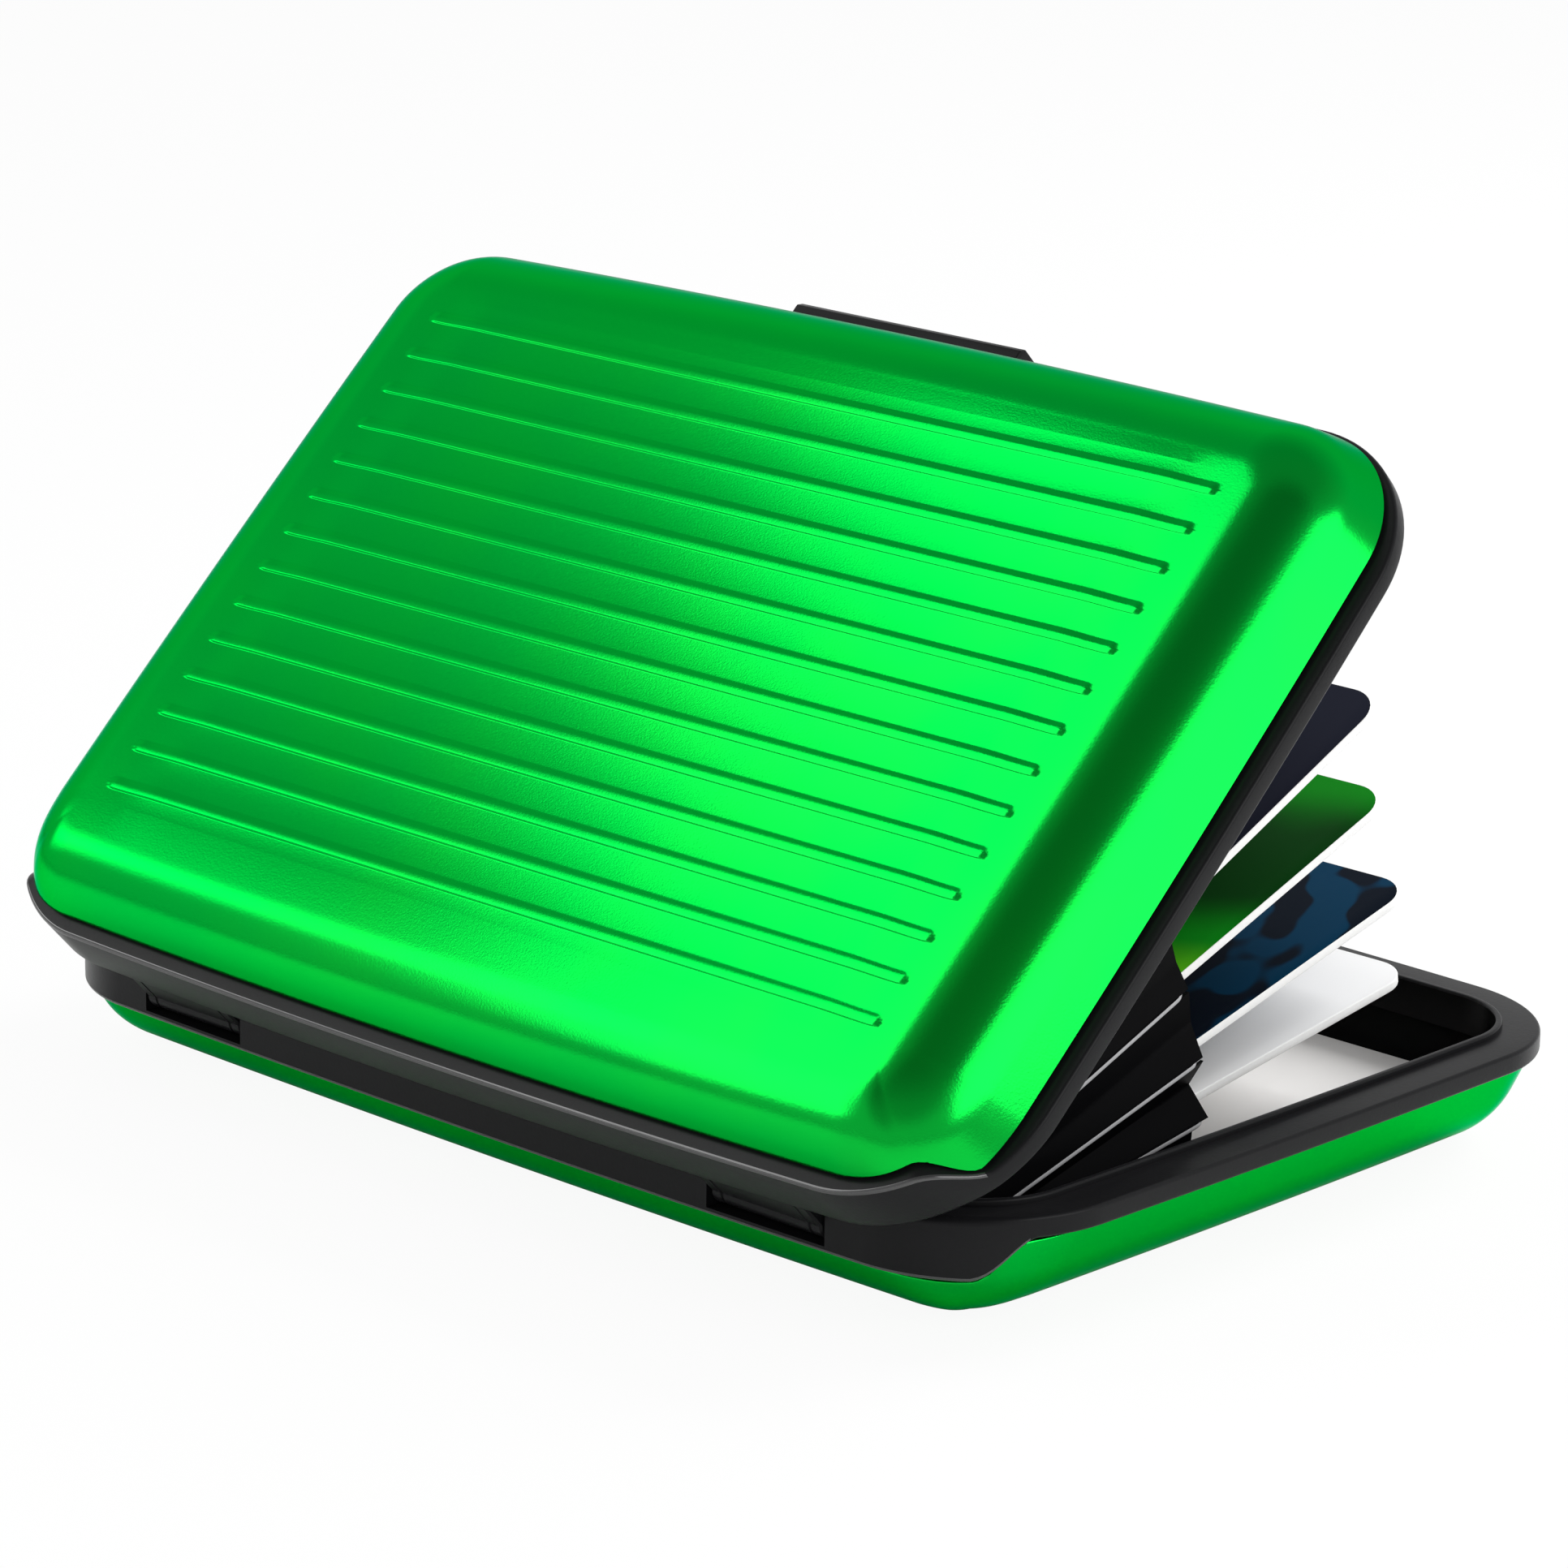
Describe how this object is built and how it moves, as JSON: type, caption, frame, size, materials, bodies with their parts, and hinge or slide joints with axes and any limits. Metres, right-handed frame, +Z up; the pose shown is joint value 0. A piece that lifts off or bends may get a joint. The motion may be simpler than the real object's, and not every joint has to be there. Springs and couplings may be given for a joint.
{
  "type": "hinged metal card holder",
  "caption": "Slim hinged case of two ribbed green metal shells on black frames, open, with an accordion of pockets holding cards and a front latch.",
  "frame": {"origin": "middle of the open holder's box, on the plane that the base's beads stand on", "axes": "+X along the hinge to the right seen from the front, +Y from the hinge to the latch, +Z up"},
  "size_m": [0.11, 0.08, 0.0617],
  "materials": {
    "green_metal": "anodised satin green",
    "black_plastic": "semi-gloss moulded black",
    "steel": "plain",
    "pocket_film": "glossy black film",
    "card_white": "printed card, white",
    "card_cream": "printed card, cream white",
    "card_blue": "printed card, dark blue",
    "card_green": "printed card, green",
    "card_navy": "printed card, navy"
  },
  "bodies": {
    "base": {"base_shell": "green_metal", "base_frame": "black_plastic", "hinge_pin_left": "steel", "hinge_pin_right": "steel", "divider_1": "pocket_film", "card_1": "card_white", "gusset_left_1": "pocket_film", "gusset_right_1": "pocket_film", "spine_1": "pocket_film"},
    "pocket_1": {"divider_2": "pocket_film", "card_2": "card_cream", "gusset_left_2": "pocket_film", "gusset_right_2": "pocket_film", "spine_2": "pocket_film"},
    "pocket_2": {"divider_3": "pocket_film", "card_3": "card_blue", "gusset_left_3": "pocket_film", "gusset_right_3": "pocket_film", "spine_3": "pocket_film"},
    "pocket_3": {"divider_4": "pocket_film", "card_4": "card_green", "gusset_left_4": "pocket_film", "gusset_right_4": "pocket_film", "spine_4": "pocket_film"},
    "pocket_4": {"divider_5": "pocket_film", "card_5": "card_navy", "gusset_left_5": "pocket_film", "gusset_right_5": "pocket_film", "spine_5": "pocket_film"},
    "pocket_5": {"divider_6": "pocket_film", "gusset_left_6": "pocket_film", "gusset_right_6": "pocket_film", "spine_6": "pocket_film"},
    "lid": {"lid_shell": "green_metal", "lid_frame": "black_plastic", "latch_pin": "steel", "latch_spring": "steel", "divider_7": "pocket_film"},
    "latch": {"latch_button": "black_plastic"}
  },
  "joints": [
    {"name": "lid_hinge", "type": "hinge", "parent": "base", "child": "lid", "pos_m": [0, -0.0334, 0.0069], "axis": [1, 0, 0], "range_deg": [-43, 22], "deforming": ["gusset_left_1", "gusset_right_1", "spine_1", "gusset_left_2", "gusset_right_2", "spine_2", "gusset_left_3", "gusset_right_3", "spine_3", "gusset_left_4", "gusset_right_4", "spine_4", "gusset_left_5", "gusset_right_5", "spine_5", "gusset_left_6", "gusset_right_6", "spine_6"]},
    {"name": "latch_pivot", "type": "hinge", "parent": "lid", "child": "latch", "pos_m": [0, 0.01668, 0.05921], "axis": [1, 0, 0], "range_deg": [0, 18], "stiffness_Nm_per_rad": 0.013},
    {"name": "pocket_1_fold", "type": "hinge", "parent": "base", "child": "pocket_1", "pos_m": [0, -0.0334, 0.0069], "axis": [1, 0, 0], "range_deg": [-8.91, 4.61]},
    {"name": "pocket_2_fold", "type": "hinge", "parent": "pocket_1", "child": "pocket_2", "pos_m": [0, -0.0334, 0.0069], "axis": [1, 0, 0], "range_deg": [-6.29, 3.27]},
    {"name": "pocket_3_fold", "type": "hinge", "parent": "pocket_2", "child": "pocket_3", "pos_m": [0, -0.0334, 0.0069], "axis": [1, 0, 0], "range_deg": [-6.59, 3.42]},
    {"name": "pocket_4_fold", "type": "hinge", "parent": "pocket_3", "child": "pocket_4", "pos_m": [0, -0.0334, 0.0069], "axis": [1, 0, 0], "range_deg": [-4.23, 2.21]},
    {"name": "pocket_5_fold", "type": "hinge", "parent": "pocket_4", "child": "pocket_5", "pos_m": [0, -0.0334, 0.0069], "axis": [1, 0, 0], "range_deg": [-9.99, 5.16]}
  ],
  "couplings": [
    {"joint": "pocket_1_fold", "follows": "lid_hinge", "ratio": 0.205},
    {"joint": "pocket_2_fold", "follows": "lid_hinge", "ratio": 0.144},
    {"joint": "pocket_3_fold", "follows": "lid_hinge", "ratio": 0.151},
    {"joint": "pocket_4_fold", "follows": "lid_hinge", "ratio": 0.096},
    {"joint": "pocket_5_fold", "follows": "lid_hinge", "ratio": 0.23}
  ]
}
